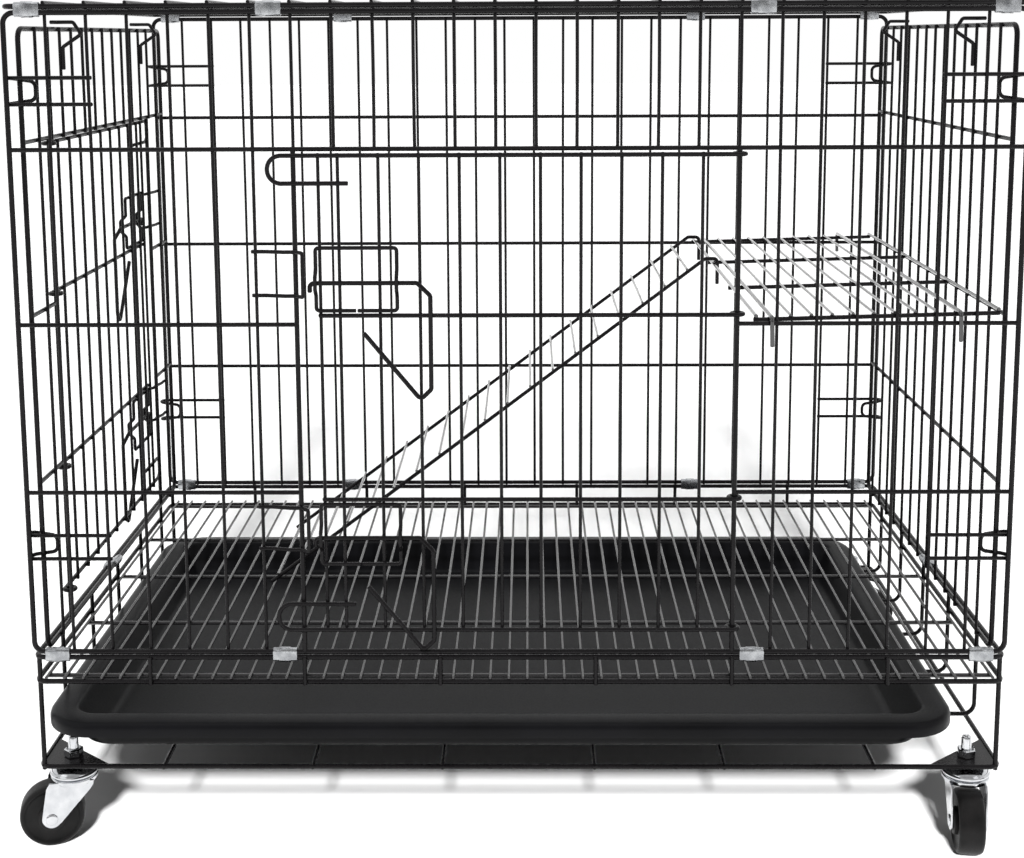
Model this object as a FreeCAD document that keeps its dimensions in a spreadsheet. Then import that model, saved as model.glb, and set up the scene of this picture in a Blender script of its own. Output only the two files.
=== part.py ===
"""Folding wire pet cage on castors, drawn as separate sub-parts in one frame.

X points right, Y points to the back, Z points up.  The ground is Z = 0 and the
cage stands centred on X = 0, Y = 0.  All lengths are millimetres.
"""
import math
import os

import FreeCAD
import Part

V = FreeCAD.Vector
UP = V(0, 0, 1)
FAR = 2000.0

SIZES = (
    ("cage_width", 750.0, "between the corner posts of the front panel"),
    ("cage_depth", 460.0, "between the front and back panel planes"),
    ("panel_height", 489.5, "bottom wire to top wire of the front panel"),
    ("castor_head", 19.4, "wheel top up to the stand's rectangle"),
    ("stand_rise", 90.0, "stand's rectangle up to the base's upper rail"),
    ("rail_drop", 19.8, "upper rail down to lower rail"),
    ("frame_wire", 4.0, "diameter of the outer frame wires"),
    ("post_wire", 3.8, "diameter of doorway posts and legs"),
    ("rail_wire", 3.4, "diameter of the horizontal wires"),
    ("loop_wire", 3.0, "diameter of keepers, guides and catches"),
    ("grid_wire", 2.6, "diameter of the upright wires"),
    ("floor_wire", 2.4, "diameter of the floor, shelf and ladder rods"),
    ("weld", 0.3, "how far two welded wires sink into each other"),
    ("fit_gap", 0.6, "gap between wires that move or clip together"),
    ("front_count", 25, "spaces across the front and back panels"),
    ("side_count", 14, "spaces across the side panels"),
    ("floor_count", 51, "spaces across the floor grid"),
    ("side_inset", 7.0, "side panel plane inside the front corner posts"),
    ("side_setback", 10.5, "side panel end post behind the front panel"),
    ("side_lift", 4.6, "side panel wires above those of the front"),
    ("corner_bend", 8.0, "bend radius of the panel corners"),
    ("tie_near", 60.0, "middle to the nearest rail ties"),
    ("tie_middle", 165.0, "middle to the next rail ties"),
    ("tie_far", 285.0, "middle to the outermost rail ties"),
    ("brace_near", 59.5, "middle to the nearest braces of the stand"),
    ("brace_middle", 161.0, "middle to the next braces of the stand"),
    ("brace_far", 278.0, "middle to the outermost braces of the stand"),
    ("tray_left", 7.0, "left leg line to the tray rim"),
    ("tray_right", 37.0, "tray rim to the right leg line"),
    ("tray_reach", 26.0, "how far the tray rim stands out of the front panel plane"),
    ("tray_back", 34.0, "tray rim to the back panel plane"),
    ("tray_rim", 20.0, "width of the rim round the basin"),
    ("tray_draft", 14.0, "how far the basin's walls lean in"),
    ("tray_corner", 40.0, "plan radius of the tray's corners"),
    ("tray_skirt", 17.0, "tray underside up to the skirt's edge"),
    ("tray_height", 28.0, "tray underside to rim top"),
    ("tray_wall", 2.0, "tray wall thickness"),
    ("runner_drop", 73.5, "upper rail down to the tray runners"),
    ("shelf_hook", 19.0, "how far the shelf's hooks hang down"),
    ("shelf_tilt", 1.5, "degrees the shelf rises to the right"),
    ("ladder_width", 157.0, "between the ladder rails"),
    ("ladder_run", 405.0, "shelf edge to the ladder's foot"),
    ("ladder_skew", 80.0, "how far the ladder's foot leans to the front"),
    ("ladder_back", 19.5, "ladder's back rail from the back panel plane"),
    ("wheel_diameter", 50.0, "castor wheel"),
    ("wheel_width", 20.0, "castor wheel tread"),
    ("hub_width", 23.6, "castor wheel hub, end to end"),
    ("hub_diameter", 21.0, "castor wheel hub"),
    ("castor_trail", 18.0, "swivel axis to axle"),
    ("castor_inset_x", 21.0, "swivel axis from the corner post, sideways"),
    ("castor_inset_y", 17.0, "swivel axis from the corner post, in depth"),
    ("axle_diameter", 6.0, "castor axle"),
    ("running_fit", 0.075, "radial play of wheels and swivels"),
    ("clip_length", 18.5, "sheet clips that pair the panel wires"),
    ("clip_sheet", 0.8, "clip sheet thickness"),
)

doc = FreeCAD.newDocument("pet_cage")
sheet = doc.addObject("Spreadsheet::Sheet", "Sizes")
for row, (name, value, note) in enumerate(SIZES, 1):
    sheet.set("A%d" % row, name)
    sheet.set("B%d" % row, str(value))
    sheet.set("C%d" % row, note)
    sheet.setAlias("B%d" % row, name)
doc.recompute()


def size(name):
    """A driving dimension, read back from the sheet."""
    return float(sheet.get(name))


WIDTH = size("cage_width")
DEPTH = size("cage_depth")
TALL = size("panel_height")
GAP = size("fit_gap")
WELD = size("weld")
R_FRAME = size("frame_wire") / 2
R_POST = size("post_wire") / 2
R_RAIL = size("rail_wire") / 2
R_LOOP = size("loop_wire") / 2
R_GRID = size("grid_wire") / 2
R_FLOOR = size("floor_wire") / 2
BEND = size("corner_bend")

STACK = 2 * R_FRAME + GAP
Z_STAND = size("wheel_diameter") + size("castor_head")
Z_BASE = Z_STAND + size("stand_rise")
Z_RAIL = Z_BASE - size("rail_drop")
Z_PANEL = Z_BASE + STACK
Z_TOP = Z_PANEL + TALL
Z_LID = Z_TOP + STACK
LEVELS = tuple(Z_PANEL + TALL * part for part in (0.26, 0.526, 0.795))
FRONT_PITCH = WIDTH / size("front_count")
SIDE_LENGTH = DEPTH - 2 * size("side_setback")
SIDE_PITCH = SIDE_LENGTH / size("side_count")
SIDE_X = WIDTH / 2 - size("side_inset")
BACK_OFF = R_RAIL + R_GRID - WELD


def rod(start, end, radius):
    """A straight round wire between two points."""
    a = V(*start)
    b = V(*end)
    return Part.makeCylinder(radius, (b - a).Length, a, b - a)


def bent(points, radius, bend):
    """A round wire through the points, every corner bent to the given radius."""
    corner = [V(*p) for p in points]
    edges = []
    start = corner[0]
    for before, here, after in zip(corner, corner[1:], corner[2:]):
        to_before = (before - here).normalize()
        to_after = (after - here).normalize()
        half = to_before.getAngle(to_after) / 2
        cut = bend / math.tan(half)
        middle = (to_before + to_after).normalize()
        apex = here + middle * (bend / math.sin(half) - bend)
        arc_start = here + to_before * cut
        arc_end = here + to_after * cut
        edges.append(Part.makeLine(start, arc_start))
        edges.append(Part.Arc(arc_start, apex, arc_end).toShape())
        start = arc_end
    edges.append(Part.makeLine(start, corner[-1]))
    path = Part.Wire(edges)
    ring = Part.Wire(Part.makeCircle(radius, corner[0], corner[1] - corner[0]))
    return path.makePipeShell([ring], True, False)


def hoop(half_x, half_y, z, radius, bend):
    """A level closed rectangle of wire with bent corners."""
    pieces = []
    for sx in (-1, 1):
        pieces.append(rod((sx * half_x, bend - half_y, z), (sx * half_x, half_y - bend, z), radius))
        for sy in (-1, 1):
            angle = {(1, 1): 0, (-1, 1): 90, (-1, -1): 180, (1, -1): 270}[(sx, sy)]
            elbow = Part.makeTorus(bend, radius, V(0, 0, 0), UP, 0, 360, 90)
            elbow.rotate(V(0, 0, 0), UP, angle)
            elbow.translate(V(sx * (half_x - bend), sy * (half_y - bend), z))
            pieces.append(elbow)
    for sy in (-1, 1):
        pieces.append(rod((bend - half_x, sy * half_y, z), (half_x - bend, sy * half_y, z), radius))
    return pieces


def upright_hoop(half, low, high, radius, bend):
    """A closed upright rectangle of wire in the plane of local Y = 0."""
    middle = (low + high) / 2
    pieces = hoop(half, (high - low) / 2, 0, radius, bend)
    for piece in pieces:
        piece.rotate(V(0, 0, 0), V(1, 0, 0), 90)
        piece.translate(V(0, 0, middle))
    return pieces


def joined(pieces):
    """The welded pieces as one solid."""
    shape = pieces[0].multiFuse(pieces[1:])
    if len(shape.Solids) != 1:
        raise ValueError("welded pieces fall into %d solids" % len(shape.Solids))
    return shape.Solids[0]


def between(shape, low, high):
    """The part of a shape that lies in the box between two corners."""
    size_x, size_y, size_z = (b - a for a, b in zip(low, high))
    return shape.common(Part.makeBox(size_x, size_y, size_z, V(*low)))


made = []


def keep(label, shape, base=(0, 0, 0), turn=0.0, axis=UP, tip=0.0):
    """One sub-part as a document object: tipped about X, turned, then set down."""
    item = doc.addObject("Part::Feature", label)
    item.Label = label
    item.Shape = shape
    facing = FreeCAD.Rotation(axis, turn).multiply(FreeCAD.Rotation(V(1, 0, 0), tip))
    item.Placement = FreeCAD.Placement(V(*base), facing)
    made.append(item)
    return item


def together(label, items):
    """Alike fasteners as one sub-part of separate solids."""
    for item in items:
        if item in made:
            made.remove(item)
    group = doc.addObject("Part::Compound", label)
    group.Links = items
    made.append(group)
    return group


# Doors are drawn with U running from the hinge post to the latch post and W
# pointing out of the cage, so one drawing serves the front and the left side.
HINGE_RING = R_POST + GAP + 0.1 + R_RAIL
DOOR_LOW = 19.4
DOOR_EDGE = 18.5
STOP_REACH = 18.7
STOP_BACK = 41.0
STOP_RISE = 20.6
ROD_OFF = HINGE_RING - (R_RAIL + R_GRID - WELD)
GUIDE_OFF = ROD_OFF + R_GRID + R_LOOP - WELD
BOLT_RADIUS = 1.75
BOLT_OFF = ROD_OFF + R_GRID + GAP + BOLT_RADIUS
LATCH_PARTS = (0.1896, 0.5918)
GUIDE_IN = 76.0
GUIDE_OUT = 15.5
GUIDE_LOW = 21.0
GUIDE_HIGH = 26.3
BUMP_OFF = BOLT_OFF + BOLT_RADIUS + 0.9 + R_LOOP
KEEPER_IN = 6.5
KEEPER_HIGH = 23.1
KEEPER_LOW = 10.0
LATCH_OPEN = 11.0


def latch_heights(low):
    """Bolt heights of the two latches on a door above its panel datum."""
    return [low + TALL * part for part in LATCH_PARTS]


def door_shape(span, pitch, low, tops):
    """A door leaf with hinge rings, two U stops and two latch guides."""
    pieces = []
    heights = (
        low + DOOR_LOW,
        tops[0] - 2 * R_RAIL - GAP - 0.4,
        tops[1] + 2 * R_RAIL + 4.1,
        tops[2] - 2 * R_RAIL - GAP - 0.5,
    )
    reach = span + STOP_REACH
    bow = STOP_RISE / 2 - 0.2
    for z in heights:
        pieces.append(Part.makeTorus(HINGE_RING, R_RAIL, V(0, 0, z), UP))
    for z, rise in ((heights[0], STOP_RISE), (heights[3], -STOP_RISE)):
        path = ((-1.2, HINGE_RING, z), (reach, HINGE_RING, z), (reach, HINGE_RING, z + rise))
        path += ((span - STOP_BACK, HINGE_RING, z + rise),)
        pieces.append(bent(path, R_RAIL, bow))
    edge = span - DOOR_EDGE
    for z in heights[1:3]:
        pieces.append(rod((-1.2, HINGE_RING, z), (edge + R_GRID, HINGE_RING, z), R_RAIL))
    uprights = [edge]
    position = 0.9 * pitch
    while position < edge - 0.4 * pitch:
        uprights.append(position)
        position += pitch
    for u in uprights:
        pieces.append(rod((u, ROD_OFF, heights[0] - R_RAIL), (u, ROD_OFF, heights[3] + R_RAIL), R_GRID))
    for z in latch_heights(low):
        pieces.append(guide_shape(span, z))
    return joined(pieces)


def hang_door(label, shape, base, turn):
    """A door as its leaf and the row of eyes bent round the hinge post."""
    step = HINGE_RING + R_RAIL + GAP
    low = (-FAR, -FAR, -FAR)
    keep(label, between(shape, (step, -FAR, -FAR), (FAR, FAR, FAR)), base, turn)
    keep(label + "_eyes", between(shape, low, (step, FAR, FAR)), base, turn)


def guide_shape(span, z):
    """The wire eye that guides one latch bolt, with its seam underneath."""
    near = span - GUIDE_IN
    far = span - GUIDE_OUT
    seam = (near + far) / 2
    low = z - GUIDE_LOW
    high = z + GUIDE_HIGH
    path = [(seam + 0.5, GUIDE_OFF, low)]
    for u, ends in ((far, (low, high)), (near, (high, low))):
        way = 1 if ends[1] > ends[0] else -1
        path.append((u, GUIDE_OFF, ends[0]))
        for step, out in ((-10, GUIDE_OFF), (-4.5, BUMP_OFF), (4.5, BUMP_OFF), (10, GUIDE_OFF)):
            path.append((u, out, z + way * step))
        path.append((u, GUIDE_OFF, ends[1]))
    path.append((seam - 0.5, GUIDE_OFF, low))
    return bent(path, R_LOOP, 2.4)


def latch_shape(span):
    """A sliding bolt with a hooked nose and a hanging wire handle."""
    grip = HINGE_RING + R_RAIL + GAP + BOLT_RADIUS + 0.6
    nose = span - LATCH_OPEN
    path = (
        (nose, BOLT_OFF, -7),
        (nose, BOLT_OFF, 0),
        (nose - 80, BOLT_OFF, 0),
        (nose - 90, grip, -9),
        (nose - 90, grip, -80),
        (nose - 82, grip, -88),
        (nose - 40, grip, -37),
    )
    return bent(path, BOLT_RADIUS, 3.4)


def keeper_shape(span, z):
    """The staple on the panel that the bolt's nose slips behind."""
    bar = span - KEEPER_IN
    touch = R_POST + R_LOOP - WELD
    out = BOLT_OFF + BOLT_RADIUS + 0.8 + R_LOOP
    inner = R_LOOP + R_GRID - WELD - BACK_OFF
    half = (
        (span + 33.0, inner),
        (span + 22.0, inner),
        (span + 8.0, touch),
        (span - 0.5, touch),
        (bar, out),
    )
    path = [(u, w, z + KEEPER_HIGH) for u, w in half]
    path += [(u, w, z - KEEPER_LOW) for u, w in reversed(half)]
    return bent(path, R_LOOP, 1.8)


def panel_pieces(length, count, low, tops, high, doorway=None, datum=0.0):
    """Wires of an upright panel in local coordinates.

    Local X runs along the panel to the right as seen from outside, local Y
    points into the cage.  A doorway is the pair of post numbers, and the
    latch keepers are set out from the datum height.
    """
    half = length / 2
    pitch = length / count
    pieces = upright_hoop(half, low, high, R_FRAME, BEND)
    left_post, right_post = doorway if doorway else (None, None)
    sunk = R_FRAME - 0.4
    for number, z in enumerate(tops):
        ends = [(-half, half)]
        if doorway and number < 2:
            ends = [(-half, -half + left_post * pitch), (-half + right_post * pitch, half)]
        for a, b in ends:
            pieces.append(rod((a, 0, z), (b, 0, z), R_RAIL))
    for number in range(1, int(count)):
        x = -half + number * pitch
        if doorway and number in doorway:
            pieces.append(rod((x, 0, low), (x, 0, tops[2]), R_POST))
            pieces.append(rod((x, BACK_OFF, tops[2] - sunk), (x, BACK_OFF, high + sunk), R_GRID))
        elif doorway and left_post < number < right_post:
            pieces.append(rod((x, BACK_OFF, tops[2] - sunk), (x, BACK_OFF, high + sunk), R_GRID))
        else:
            pieces.append(rod((x, BACK_OFF, low - sunk), (x, BACK_OFF, high + sunk), R_GRID))
    if doorway:
        span = (right_post - left_post) * pitch
        hinge = -half + right_post * pitch
        for z in latch_heights(datum):
            staple = keeper_shape(span, z)
            staple.rotate(V(0, 0, 0), UP, 180)
            staple.translate(V(hinge, 0, 0))
            pieces.append(staple)
    return pieces


def set_fields(label, names, shape, length, count, doorway, low, head, base, turn):
    """A panel with a doorway as two side fields, the head above and the sill below it."""
    left, right = (-length / 2 + post * length / count for post in doorway)
    inside = R_POST + GAP
    below = low + R_FRAME + GAP
    above = head - R_RAIL - GAP
    sill = Part.makeBox(right - left - 2 * inside, 2 * FAR, FAR + below, V(left + inside, -FAR, -FAR))
    lintel = Part.makeBox(right - left - 2 * inside, 2 * FAR, FAR, V(left + inside, -FAR, above))
    keep(label + "_sill", shape.common(sill), base, turn)
    keep(label + "_head", shape.common(lintel), base, turn)
    fields = shape.cut([sill, lintel]).Solids
    fields.sort(key=lambda field: field.BoundBox.Center.x)
    for name, field in zip(names, fields):
        keep(label + name, field, base, turn)


CATCH_PARTS = ((0.863, 0.903), (0.149, 0.187))


def catch_pieces():
    """Corner catches that hook round the end posts of the side panels."""
    pieces = []
    lie = BACK_OFF + R_GRID + R_LOOP - WELD
    back = size("side_setback") + R_FRAME + 1.0 + R_LOOP
    bow = (back - lie) / 2 - 0.1
    for side in (-1, 1):
        start = side * (WIDTH / 2 - 2 * FRONT_PITCH - 2.0)
        apex = side * (WIDTH / 2 + 3.5)
        tip = side * (SIDE_X - R_FRAME - 8.0)
        for parts in CATCH_PARTS:
            low, high = (Z_PANEL + TALL * part for part in parts)
            path = (
                (start, lie, high),
                (apex, lie, high),
                (apex, back, high),
                (tip, back, high - 3),
                (tip, back, low + 3),
                (apex, back, low),
                (apex, lie, low),
                (start, lie, low),
            )
            pieces.append(bent(path, R_LOOP, bow))
    return pieces


HALF_W = WIDTH / 2
HALF_D = DEPTH / 2
FRONT_DOORWAY = (7, 18)
SIDE_DOORWAY = (2, 12)
FRONT_SPAN = (FRONT_DOORWAY[1] - FRONT_DOORWAY[0]) * FRONT_PITCH
SIDE_SPAN = (SIDE_DOORWAY[1] - SIDE_DOORWAY[0]) * SIDE_PITCH
FRONT_HINGE = (FRONT_DOORWAY[1] * FRONT_PITCH - HALF_W, -HALF_D, 0)
SIDE_HINGE = (-SIDE_X, SIDE_LENGTH / 2 - SIDE_DOORWAY[1] * SIDE_PITCH, 0)

count = size("front_count")
front = joined(panel_pieces(WIDTH, count, Z_PANEL, LEVELS, Z_TOP, FRONT_DOORWAY, Z_PANEL) + catch_pieces())
fields = ("_left", "_right")
set_fields("front_panel", fields, front, WIDTH, count, FRONT_DOORWAY, Z_PANEL, LEVELS[2], (0, -HALF_D, 0), 0)
back = panel_pieces(WIDTH, size("front_count"), Z_PANEL, LEVELS, Z_TOP)
keep("back_panel", joined(back + catch_pieces()), (0, HALF_D, 0), 180)

SIDE_DATUM = Z_PANEL + size("side_lift")
SIDE_LOW = Z_BASE + 3.1
SIDE_HIGH = Z_TOP - 11.5
SIDE_LEVELS = tuple(z + size("side_lift") for z in LEVELS)


def side_hooks():
    """Wire hooks that reach out under the lid's side wire."""
    pieces = []
    face = BACK_OFF + R_GRID + R_LOOP - WELD
    for place in (-4, 4):
        x = place * SIDE_PITCH
        path = (
            (x, face, SIDE_HIGH - 32),
            (x, face, SIDE_HIGH - 14),
            (x, face + 15, SIDE_HIGH - 4),
            (x, face + 9, SIDE_HIGH + 5.6),
            (x, -4.5, SIDE_HIGH + 5.6),
        )
        pieces.append(bent(path, R_LOOP, 2.5))
    return pieces


count = size("side_count")
left = panel_pieces(SIDE_LENGTH, count, SIDE_LOW, SIDE_LEVELS, SIDE_HIGH, SIDE_DOORWAY, SIDE_DATUM)
left = joined(left + side_hooks())
fields = ("_back", "_front")
at = (-SIDE_X, 0, 0)
set_fields("left_panel", fields, left, SIDE_LENGTH, count, SIDE_DOORWAY, SIDE_LOW, SIDE_LEVELS[2], at, -90)
right = panel_pieces(SIDE_LENGTH, count, SIDE_LOW, SIDE_LEVELS, SIDE_HIGH)
keep("right_panel", joined(right + side_hooks()), (SIDE_X, 0, 0), 90)

hang_door("front_door", door_shape(FRONT_SPAN, FRONT_PITCH, Z_PANEL, LEVELS), FRONT_HINGE, 180)
hang_door("left_door", door_shape(SIDE_SPAN, SIDE_PITCH, SIDE_DATUM, SIDE_LEVELS), SIDE_HINGE, 90)
for place, z in zip(("low", "high"), latch_heights(Z_PANEL)):
    keep("front_latch_" + place, latch_shape(FRONT_SPAN), FRONT_HINGE[:2] + (z,), 180)
for place, z in zip(("low", "high"), latch_heights(SIDE_DATUM)):
    keep("left_latch_" + place, latch_shape(SIDE_SPAN), SIDE_HINGE[:2] + (z,), 90)


def lid_pieces():
    """The top panel: a frame, four cross wires and a row of depth wires."""
    pieces = hoop(HALF_W, HALF_D, Z_LID, R_FRAME, BEND)
    for number in range(1, 5):
        y = -HALF_D + DEPTH * number / 5
        pieces.append(rod((-HALF_W, y, Z_LID), (HALF_W, y, Z_LID), R_RAIL))
    over = HALF_D + R_FRAME - 0.4
    for number in range(1, int(size("front_count"))):
        x = -HALF_W + number * FRONT_PITCH
        pieces.append(rod((x, -over, Z_LID + BACK_OFF), (x, over, Z_LID + BACK_OFF), R_GRID))
    return pieces


keep("top_panel", joined(lid_pieces()))

R_RUN = R_RAIL
Z_RUN = Z_BASE - size("runner_drop")
STAND_PLATE = 2.0
STEM_RADIUS = 4.0
CASTOR_X = HALF_W - size("castor_inset_x")
CASTOR_Y = HALF_D - size("castor_inset_y")


PLATE_X = size("castor_inset_x") + 35
PLATE_Y = size("castor_inset_y") + 31


def corner_plate(sx, sy):
    """Triangular castor plate let into one corner of the stand."""
    corners = (
        (HALF_W - PLATE_X, HALF_D),
        (HALF_W - BEND, HALF_D),
        (HALF_W, HALF_D - BEND),
        (HALF_W, HALF_D - PLATE_Y),
    )
    low = Z_STAND - STAND_PLATE / 2
    points = [V(sx * x, sy * y, low) for x, y in corners]
    face = Part.Face(Part.makePolygon(points + points[:1]))
    plate = face.extrude(V(0, 0, STAND_PLATE))
    hole = Part.makeCylinder(STEM_RADIUS + 0.5, 10, V(sx * CASTOR_X, sy * CASTOR_Y, low - 4))
    return plate.cut(hole)


def base_pieces():
    """Two rails, legs, the stand's rectangle, ties and tray runners."""
    pieces = []
    for z in (Z_BASE, Z_RAIL, Z_STAND):
        pieces += hoop(HALF_W, HALF_D, z, R_FRAME, BEND)
    tuck = BEND * (1 - math.sqrt(0.5))
    for sx in (-1, 1):
        for sy in (-1, 1):
            x = sx * (HALF_W - tuck)
            y = sy * (HALF_D - tuck)
            pieces.append(rod((x, y, Z_STAND), (x, y, Z_BASE), R_POST))
            pieces.append(corner_plate(sx, sy))
    tie_y = HALF_D + R_FRAME + R_RAIL - WELD
    for place in ("near", "middle", "far"):
        for side in (-1, 1):
            x = side * size("brace_" + place)
            pieces.append(rod((x, -HALF_D, Z_STAND), (x, HALF_D, Z_STAND), R_RAIL))
            x = side * size("tie_" + place)
            for y in (-tie_y, tie_y):
                pieces.append(rod((x, y, Z_RAIL - 1.5), (x, y, Z_BASE + 1.5), R_RAIL))
    x = HALF_W - R_FRAME - R_RUN + WELD
    for number in range(-2, 3):
        y = number * DEPTH * 0.185
        path = ((-x, y, Z_BASE), (-x, y, Z_RUN), (x, y, Z_RUN), (x, y, Z_BASE))
        pieces.append(bent(path, R_RUN, 9.0))
    return pieces


base = joined(base_pieces())
end = HALF_W - BEND - 0.5
deep = HALF_D - BEND
step = Z_STAND + R_FRAME + GAP
inset = HALF_W - PLATE_X - GAP
edge = HALF_D - R_FRAME - GAP
keep("stand_left", between(base, (-FAR, -FAR, 0), (-inset, FAR, step)))
keep("stand_right", between(base, (inset, -FAR, 0), (FAR, FAR, step)))
keep("stand_front", between(base, (-inset, -FAR, 0), (inset, -edge, step)))
keep("stand_back", between(base, (-inset, edge, 0), (inset, FAR, step)))
keep("stand_braces", between(base, (-inset, -edge, 0), (inset, edge, step)))
keep("base_left", between(base, (-FAR, -FAR, step), (-end, FAR, FAR)))
keep("base_right", between(base, (end, -FAR, step), (FAR, FAR, FAR)))
keep("base_front", between(base, (-end, -FAR, step), (end, -deep, FAR)))
keep("base_back", between(base, (-end, deep, step), (end, FAR, FAR)))
keep("tray_runners", between(base, (-end, -deep, step), (end, deep, FAR)))

FLOOR_HALF = HALF_W - 8.0
FLOOR_Z = Z_RAIL + R_FRAME + R_FLOOR + 0.05


def floor_pieces():
    """Floor grid: a row of depth rods on five cross wires."""
    pieces = []
    spaces = int(size("floor_count"))
    for number in range(spaces + 1):
        x = -FLOOR_HALF + 2 * FLOOR_HALF * number / spaces
        pieces.append(rod((x, -HALF_D - 1.5, FLOOR_Z), (x, HALF_D + 1.5, FLOOR_Z), R_FLOOR))
    under = FLOOR_Z - R_FLOOR - R_RAIL + WELD
    edge = HALF_D - 10.0
    for number in range(5):
        y = -edge + 2 * edge * number / 4 + (3.8 if number == 2 else 0)
        pieces.append(rod((-FLOOR_HALF - 1.5, y, under), (FLOOR_HALF + 1.5, y, under), R_RAIL))
    return pieces


keep("floor_grid", joined(floor_pieces()))


TRAY_WIDE = WIDTH - size("tray_left") - size("tray_right")
TRAY_DEEP = DEPTH + size("tray_reach") - size("tray_back")
TRAY_AT = (
    (size("tray_left") - size("tray_right")) / 2,
    -(size("tray_reach") + size("tray_back")) / 2,
    Z_RUN + R_RUN + 0.4,
)


def tray_loop(inset, z):
    """The tray's plan outline drawn in by an inset, at a height."""
    half_x = TRAY_WIDE / 2 - inset
    half_y = TRAY_DEEP / 2 - inset
    bend = max(size("tray_corner") - inset, 12.0)
    edges = []
    for sx, sy, start in ((1, 1, 0), (-1, 1, 90), (-1, -1, 180), (1, -1, 270)):
        middle = V(sx * (half_x - bend), sy * (half_y - bend), z)
        edges.append(Part.makeCircle(bend, middle, UP, start, start + 90))
    corners = [(arc.valueAt(arc.FirstParameter), arc.valueAt(arc.LastParameter)) for arc in edges]
    runs = [Part.makeLine(corners[i][1], corners[(i + 1) % 4][0]) for i in range(4)]
    return Part.Wire([edge for pair in zip(edges, runs) for edge in pair])


def tray_block(low_inset, low, high_inset, high):
    """A block between two plan outlines of the tray."""
    return Part.makeLoft([tray_loop(low_inset, low), tray_loop(high_inset, high)], True, True)


def tray_shape():
    """A plastic tray: rim with a turned down skirt round a basin with leaning walls."""
    wall = size("tray_wall")
    tall = size("tray_height")
    skirt = size("tray_skirt")
    rim = size("tray_rim")
    foot = rim + size("tray_draft")
    outer = tray_block(0, skirt, 0, tall)
    top_edges = [e for e in outer.Edges if e.BoundBox.ZMin > tall - 0.01]
    outer = outer.makeFillet(3.5, top_edges)
    hollow = tray_block(wall, skirt - 1, wall, tall - wall)
    basin = tray_block(foot, 0, rim, tall)
    inside = tray_block(foot + wall, wall, rim + wall, tall)
    return outer.cut(hollow).fuse(basin).cut(inside).removeSplitter()


# Flat cuts part the moulded tray into its floor plate, sides and corners, each a simple form round the basin.
tray = tray_shape().Solids[0]
foot = size("tray_rim") + size("tray_draft") + size("tray_wall")
plate_x, plate_y = TRAY_WIDE / 2 - foot - 4.0, TRAY_DEEP / 2 - foot - 4.0
side_x, side_y = plate_x - 8.0, plate_y - 8.0
plate = Part.makeBox(2 * plate_x, 2 * plate_y, FAR, V(-plate_x, -plate_y, 0))
keep("tray_base", tray.common(plate), TRAY_AT)
tray_sides = [
    between(tray, (-side_x, -FAR, 0), (side_x, -plate_y, FAR)),
    between(tray, (-side_x, plate_y, 0), (side_x, FAR, FAR)),
    between(tray, (-FAR, -side_y, 0), (-plate_x, side_y, FAR)),
    between(tray, (plate_x, -side_y, 0), (FAR, side_y, FAR)),
]
keep("tray_sides", Part.makeCompound(tray_sides), TRAY_AT)
tray_corners = [
    between(tray, (side_x, side_y, 0), (FAR, FAR, FAR)),
    between(tray, (-FAR, side_y, 0), (-side_x, FAR, FAR)),
    between(tray, (-FAR, -FAR, 0), (-side_x, -side_y, FAR)),
    between(tray, (side_x, -FAR, 0), (FAR, -side_y, FAR)),
]
keep("tray_corners", Part.makeCompound([corner.cut(plate) for corner in tray_corners]), TRAY_AT)

# The shelf's hooks pass between the uprights, so they are set out in front spaces.
SHELF_X = -HALF_W + 18.5 * FRONT_PITCH
SHELF_Z = LEVELS[1] + R_RAIL
R_EDGE = R_LOOP
R_HOOK = R_RAIL
HOOK_NEAR = 0.35 * FRONT_PITCH
HOOK_FAR = 5.03 * FRONT_PITCH
SHELF_WIDE = SIDE_X - BACK_OFF - R_GRID - GAP - R_EDGE - 0.1 - SHELF_X


def shelf_shape():
    """A wire shelf on two hooked depth wires; local X starts at the left edge."""
    pieces = []
    reach = HALF_D - BACK_OFF - R_GRID - GAP - R_RAIL - 0.4
    for part in (-1, -1 / 3, 1 / 3, 1):
        pieces.append(rod((-2, part * reach, 0), (SHELF_WIDE + 1.2, part * reach, 0), R_RAIL))
    edge_z = R_RAIL + R_EDGE - WELD
    for x in (0, SHELF_WIDE):
        pieces.append(rod((x, -reach - 1.5, edge_z), (x, reach + 1.5, edge_z), R_EDGE))
    rod_z = R_RAIL + R_FLOOR - WELD
    spaces = 9
    for number in range(1, spaces):
        x = HOOK_NEAR + (HOOK_FAR - HOOK_NEAR) * number / spaces
        pieces.append(rod((x, -reach - 1.2, rod_z), (x, reach + 1.2, rod_z), R_FLOOR))
    hook_z = R_RAIL + R_HOOK - WELD
    over = HALF_D + R_RAIL + GAP + 0.4 + R_HOOK
    low = -size("shelf_hook")
    for x in (HOOK_NEAR, HOOK_FAR):
        path = ((x, -over, low), (x, -over, hook_z), (x, over, hook_z), (x, over, low + 3))
        pieces.append(bent(path, R_HOOK, 3.0))
    return joined(pieces)


TILT = -size("shelf_tilt")
shelf = shelf_shape()
under = -R_RAIL - GAP
for label, low, high in (("shelf", under, FAR), ("shelf_hooks", -FAR, under)):
    part = between(shelf, (-FAR, -FAR, low), (FAR, FAR, high))
    keep(label, part, (SHELF_X, 0, SHELF_Z), TILT, V(0, 1, 0))

LADDER_Y = HALF_D - size("ladder_back") - size("ladder_width") / 2
LADDER_RUN = size("ladder_run")
PIVOT_Z = SHELF_Z + R_RAIL + R_EDGE - WELD
LADDER_FOOT = FLOOR_Z + R_FLOOR + GAP + R_RAIL


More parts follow.
